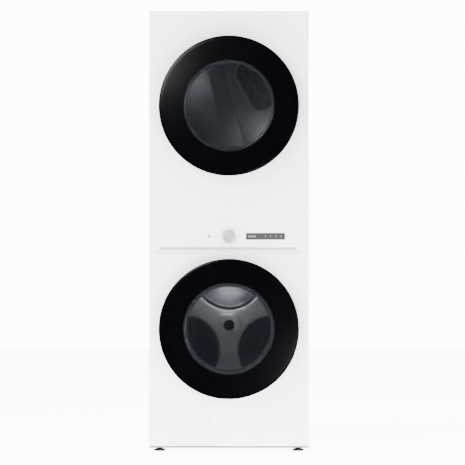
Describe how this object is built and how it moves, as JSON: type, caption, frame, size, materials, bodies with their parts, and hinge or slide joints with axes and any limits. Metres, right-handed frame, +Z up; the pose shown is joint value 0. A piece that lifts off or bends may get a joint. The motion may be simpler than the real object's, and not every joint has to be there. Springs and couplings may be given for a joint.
{
  "type": "washer dryer stack",
  "caption": "Tall white laundry tower: front-loading washer below, tumble dryer above, round dark glass doors, and a control line with a detergent drawer between them.",
  "frame": {"origin": "on the floor, under the middle of the overall box", "axes": "+Z up, +X to the right as seen from the front, +Y to the back, so the doors face -Y"},
  "size_m": [0.686, 0.83, 1.89],
  "materials": {
    "white_enamel": "smooth white enamel",
    "white_plastic": "white moulded plastic",
    "galvanised_steel": "spangled zinc coating",
    "stainless_steel": "brushed stainless steel",
    "black_glass": "black printed and tinted glass",
    "clear_glass": "clear pressed glass",
    "dark_plastic": "dark grey moulded plastic",
    "grey_plastic": "grey moulded plastic",
    "grey_rubber": "matt grey rubber",
    "spun_aluminium": "spun bright face",
    "cast_weight": "rough cast",
    "machined_steel": "machined",
    "display_glass": "smoked display pane",
    "filter_blue": "coloured plastic"
  },
  "bodies": {
    "cabinet": {"base_pan": "galvanised_steel", "levelling_feet": "grey_rubber", "left_side_panel": "white_enamel", "right_side_panel": "white_enamel", "top_cover": "white_enamel", "rear_panel": "galvanised_steel", "middle_frame": "galvanised_steel", "upper_front_panel": "white_enamel", "lower_front_panel": "white_enamel", "handle_channel": "white_plastic", "drawer_housing": "grey_plastic", "control_housing": "dark_plastic", "display_window": "display_glass", "hinge_brackets": "galvanised_steel", "door_catches": "dark_plastic", "washer_gasket": "grey_rubber", "inlet_valves": "grey_plastic", "drain_pump": "grey_plastic", "damper_cylinders": "machined_steel", "suspension_springs": "machined_steel", "dryer_front_bulkhead": "galvanised_steel", "dryer_rear_bulkhead": "galvanised_steel", "dryer_air_grille": "stainless_steel", "dryer_motor": "machined_steel", "dryer_belt": "grey_rubber", "blower_housing": "dark_plastic", "exhaust_duct": "galvanised_steel", "heater_housing": "galvanised_steel"},
    "tub": {"tub_front": "grey_plastic", "tub_rear": "grey_plastic", "counterweights": "cast_weight", "drum_bearings": "machined_steel", "motor_stator": "machined_steel", "damper_rods": "machined_steel"},
    "washer_drum_group": {"washer_drum": "stainless_steel", "washer_drum_back": "stainless_steel", "washer_drum_lifters": "stainless_steel", "drum_shaft": "machined_steel", "motor_rotor": "machined_steel"},
    "dryer_drum_group": {"dryer_drum": "stainless_steel", "dryer_drum_lifters": "stainless_steel"},
    "roller_left": {"roller_left": "grey_rubber"},
    "roller_right": {"roller_right": "grey_rubber"},
    "blower_drive": {"motor_shaft": "machined_steel", "blower_wheel": "grey_plastic"},
    "washer_door": {"washer_door_glass": "black_glass", "washer_door_frame": "dark_plastic", "washer_door_bowl": "clear_glass", "washer_door_hinge": "stainless_steel"},
    "dryer_door": {"dryer_door_glass": "black_glass", "dryer_door_frame": "dark_plastic", "dryer_door_bowl": "clear_glass", "dryer_door_hinge": "stainless_steel"},
    "drawer": {"drawer_front": "white_plastic", "drawer_tray": "grey_plastic"},
    "knob": {"knob": "spun_aluminium"},
    "power_button": {"power_button": "white_plastic"},
    "service_hatch": {"service_hatch": "white_plastic"},
    "drain_filter": {"drain_filter": "filter_blue"},
    "lint_filter": {"lint_filter": "filter_blue"}
  },
  "joints": [
    {"name": "tub_bounce", "type": "slide", "parent": "cabinet", "child": "tub", "axis": [0, 0, 1], "range_m": [-0.008, 0.008], "stiffness_N_per_m": 20000, "springref_m": 0.028, "deforming": ["suspension_springs", "washer_gasket"]},
    {"name": "washer_drum_spin", "type": "hinge", "parent": "tub", "child": "washer_drum_group", "pos_m": [0, 0, 0.527], "axis": [0, -1, 0], "continuous": true},
    {"name": "dryer_drum_spin", "type": "hinge", "parent": "cabinet", "child": "dryer_drum_group", "pos_m": [0, 0, 1.482], "axis": [0, -1, 0], "continuous": true},
    {"name": "roller_left_spin", "type": "hinge", "parent": "cabinet", "child": "roller_left", "pos_m": [-0.18486, 0.2075, 1.21799], "axis": [0, -1, 0], "continuous": true},
    {"name": "roller_right_spin", "type": "hinge", "parent": "cabinet", "child": "roller_right", "pos_m": [0.18486, 0.2075, 1.21799], "axis": [0, -1, 0], "continuous": true},
    {"name": "blower_drive_spin", "type": "hinge", "parent": "cabinet", "child": "blower_drive", "pos_m": [-0.06, 0, 1.01], "axis": [0, -1, 0], "continuous": true},
    {"name": "washer_door_hinge", "type": "hinge", "parent": "cabinet", "child": "washer_door", "pos_m": [-0.288, -0.389, 0.527], "axis": [0, 0, -1], "range_deg": [0, 130]},
    {"name": "dryer_door_hinge", "type": "hinge", "parent": "cabinet", "child": "dryer_door", "pos_m": [-0.288, -0.389, 1.482], "axis": [0, 0, -1], "range_deg": [0, 130]},
    {"name": "drawer_slide", "type": "slide", "parent": "cabinet", "child": "drawer", "axis": [0, -1, 0], "range_m": [0, 0.25]},
    {"name": "knob_turn", "type": "hinge", "parent": "cabinet", "child": "knob", "pos_m": [0, -0.366, 0.923], "axis": [0, -1, 0], "continuous": true},
    {"name": "power_button_press", "type": "slide", "parent": "cabinet", "child": "power_button", "axis": [0, 1, 0], "range_m": [0, 0.0012], "stiffness_N_per_m": 500, "springref_m": -0.001},
    {"name": "service_hatch_hinge", "type": "hinge", "parent": "cabinet", "child": "service_hatch", "pos_m": [-0.1595, -0.35, 0.036], "axis": [1, 0, 0], "range_deg": [0, 85]},
    {"name": "drain_filter_turn", "type": "hinge", "parent": "cabinet", "child": "drain_filter", "pos_m": [-0.16, -0.333, 0.09], "axis": [0, -1, 0], "range_deg": [0, 90]},
    {"name": "lint_filter_slide", "type": "slide", "parent": "cabinet", "child": "lint_filter", "axis": [0, 0, 1], "range_m": [0, 0.15]}
  ],
  "couplings": [
    {"joint": "roller_left_spin", "follows": "dryer_drum_spin", "ratio": -9.7333},
    {"joint": "roller_right_spin", "follows": "dryer_drum_spin", "ratio": -9.7333},
    {"joint": "blower_drive_spin", "follows": "dryer_drum_spin", "ratio": 24.898}
  ]
}
